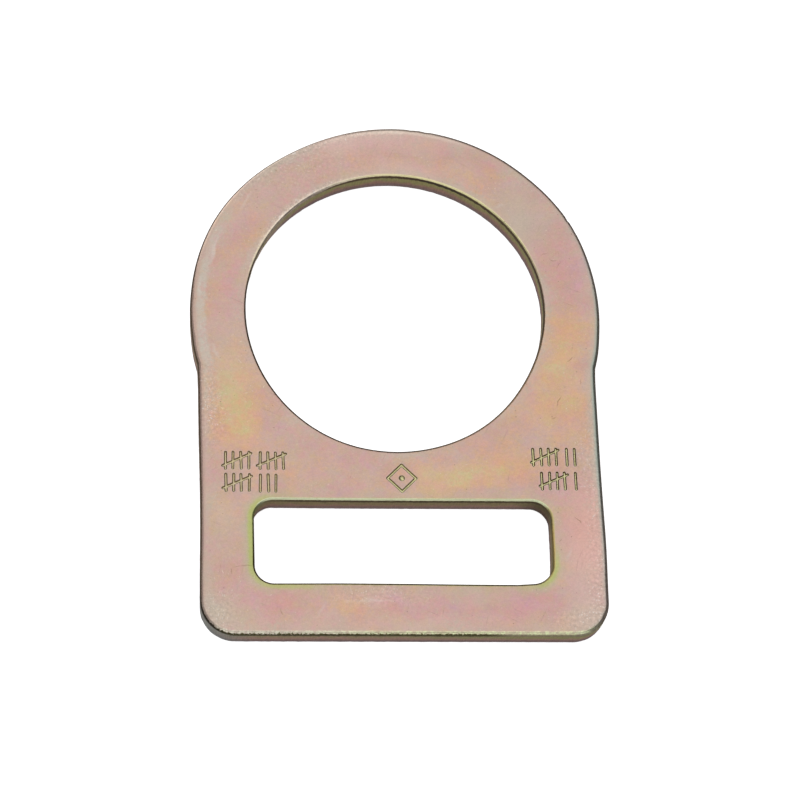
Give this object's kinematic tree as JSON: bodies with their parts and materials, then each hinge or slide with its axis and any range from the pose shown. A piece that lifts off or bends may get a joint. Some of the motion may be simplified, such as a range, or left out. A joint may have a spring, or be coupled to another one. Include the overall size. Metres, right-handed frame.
{
  "type": "slotted d ring",
  "caption": "Flat stamped steel D ring: a round eye for a hook or rope over a straight base with a slot for webbing.",
  "frame": {"origin": "centre of the round eye, on the back face that rests on the surface", "axes": "+Z along the eye's axis, out of the stamped front face; +Y from the webbing slot towards the eye; +X to the right as seen from the front"},
  "size_m": [0.0652, 0.0868, 0.004],
  "materials": {
    "plated_steel": "satin zinc plate with a rose, gold and grey-green chromate film, worn pale along the edges"
  },
  "bodies": {
    "root": {"d_ring": "plated_steel"}
  },
  "joints": []
}
